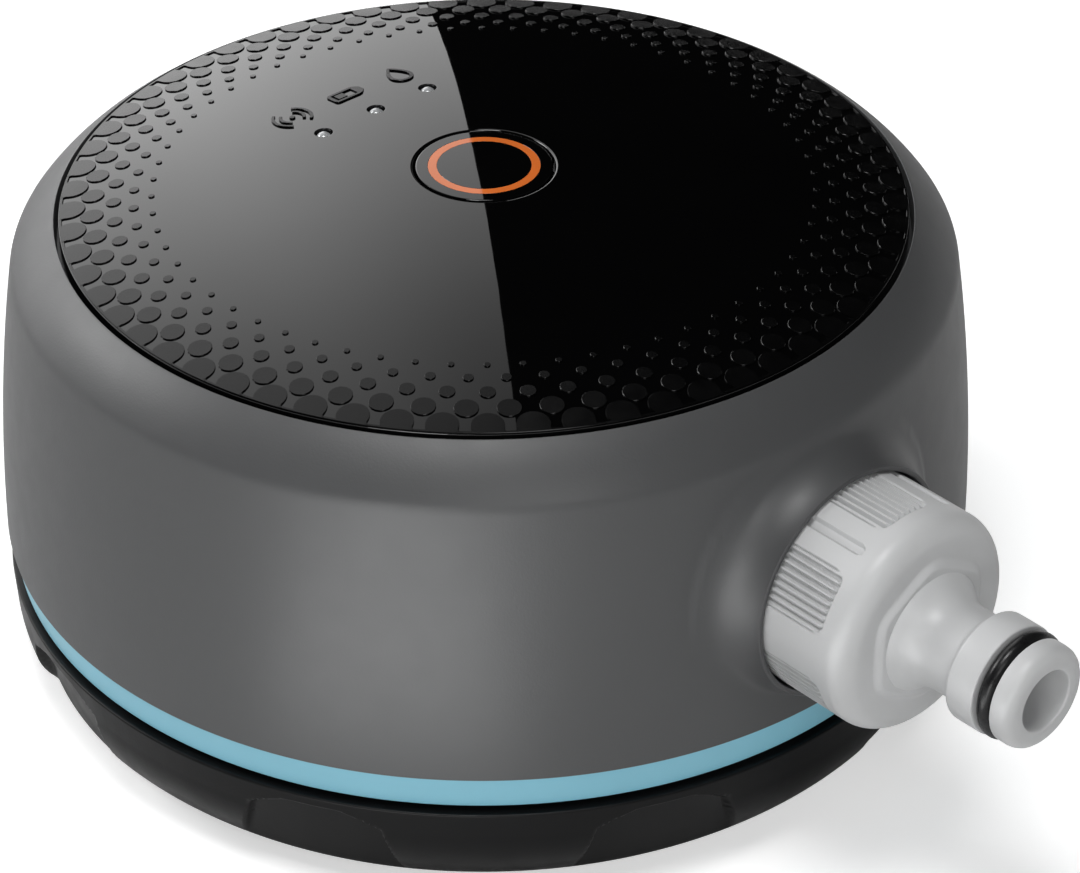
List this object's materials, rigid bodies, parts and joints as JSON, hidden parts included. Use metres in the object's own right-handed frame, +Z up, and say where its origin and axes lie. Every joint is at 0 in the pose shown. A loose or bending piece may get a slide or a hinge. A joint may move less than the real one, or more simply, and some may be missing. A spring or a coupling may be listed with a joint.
{
  "type": "smart irrigation valve",
  "caption": "Round battery-powered hose valve with a domed control face, push button, hose nipple outlet and swivel tap inlet.",
  "frame": {"origin": "centre of the flat underside that the valve stands on, on the axis of its round body", "axes": "+Z up through the button, -Y out of the hose nipple, +Y out of the tap inlet, +X to the right of the signs on the face"},
  "size_m": [0.1504, 0.1967, 0.0818],
  "materials": {
    "housing": "satin dark grey moulded plastic",
    "accent": "smooth pale blue plastic",
    "panel": "polished black plastic",
    "light_ring": "orange translucent plastic",
    "lens": "clear plastic light guide",
    "cover": "satin black plastic",
    "connector": "satin pale grey plastic",
    "spigot": "black glass-filled plastic",
    "seal": "black rubber",
    "silicone": "pale silicone rubber",
    "valve_plastic": "dark glass-filled plastic",
    "inner_plastic": "grey plastic",
    "board": "green circuit board",
    "led": "white lamp body",
    "steel": "bright steel",
    "coil_frame": "black painted steel",
    "copper": "enamelled copper wire",
    "cells": "printed metal jacket"
  },
  "bodies": {
    "valve": {"housing": "housing", "accent_ring": "accent", "top_panel": "panel", "panel_seal": "seal", "switch_dome": "silicone", "indicator_lenses": "lens", "status_leds": "led", "circuit_board": "board", "board_screws": "steel", "radio_module": "steel", "board_connector": "inner_plastic", "outlet_spigot": "spigot", "spigot_clips": "steel", "spigot_seals": "seal", "inlet_spigot": "spigot", "nut_clip": "steel", "inlet_strainer": "steel", "inlet_washer": "seal", "valve_body": "valve_plastic", "valve_bonnet": "valve_plastic", "bonnet_screws": "steel", "diaphragm": "seal", "diaphragm_spring": "steel", "coil_case": "coil_frame", "coil_screws": "steel", "coil_winding": "copper", "core_tube": "steel", "fixed_core": "steel", "plunger_spring": "steel", "chassis": "inner_plastic", "chassis_screws": "steel", "barrel_clamps": "inner_plastic", "clamp_screws": "steel", "battery_tray": "inner_plastic", "batteries": "cells", "battery_contacts": "steel"},
    "button": {"button_cap": "panel", "button_ring": "light_ring"},
    "cover_carrier": {"cover_seal": "seal"},
    "cover": {"battery_cover": "cover"},
    "draw": {"connector_washer": "seal"},
    "connector": {"outlet_connector": "connector", "nipple_o_ring": "seal"},
    "swivel_nut": {"inlet_nut": "connector"},
    "plunger": {"plunger": "steel"},
    "lift": {"diaphragm_plate": "valve_plastic"}
  },
  "joints": [
    {"name": "button_press", "type": "slide", "parent": "valve", "child": "button", "axis": [0, 0, -1], "range_m": [0, 0.0008], "stiffness_N_per_m": 600, "springref_m": -0.0003, "deforming": ["switch_dome"]},
    {"name": "cover_drop", "type": "slide", "parent": "valve", "child": "cover_carrier", "axis": [0, 0, -1], "range_m": [0, 0.006]},
    {"name": "cover_turn", "type": "hinge", "parent": "cover_carrier", "child": "cover", "pos_m": [0, 0, 0], "axis": [0, 0, -1], "range_deg": [0, 120]},
    {"name": "outlet_draw", "type": "slide", "parent": "valve", "child": "draw", "axis": [0, -1, 0], "range_m": [0, 0.0091]},
    {"name": "outlet_turn", "type": "hinge", "parent": "draw", "child": "connector", "pos_m": [0, -0.0882, 0.0466], "axis": [0, -1, 0], "range_deg": [0, 1800]},
    {"name": "inlet_nut_swivel", "type": "hinge", "parent": "valve", "child": "swivel_nut", "pos_m": [0, 0.072, 0.0466], "axis": [0, 1, 0], "continuous": true},
    {"name": "plunger_pull", "type": "slide", "parent": "valve", "child": "plunger", "axis": [0, 0, -1], "range_m": [0, 0.002], "stiffness_N_per_m": 300, "springref_m": -0.002, "deforming": ["plunger_spring"]},
    {"name": "valve_lift", "type": "slide", "parent": "valve", "child": "lift", "axis": [0, 0, 1], "range_m": [0, 0.002], "deforming": ["diaphragm", "diaphragm_spring"]}
  ],
  "couplings": [
    {"joint": "cover_drop", "follows": "cover_turn", "m_per_rad": 0.0028648},
    {"joint": "outlet_draw", "follows": "outlet_turn", "m_per_rad": 0.00028871},
    {"joint": "valve_lift", "follows": "plunger_pull", "ratio": 1}
  ]
}
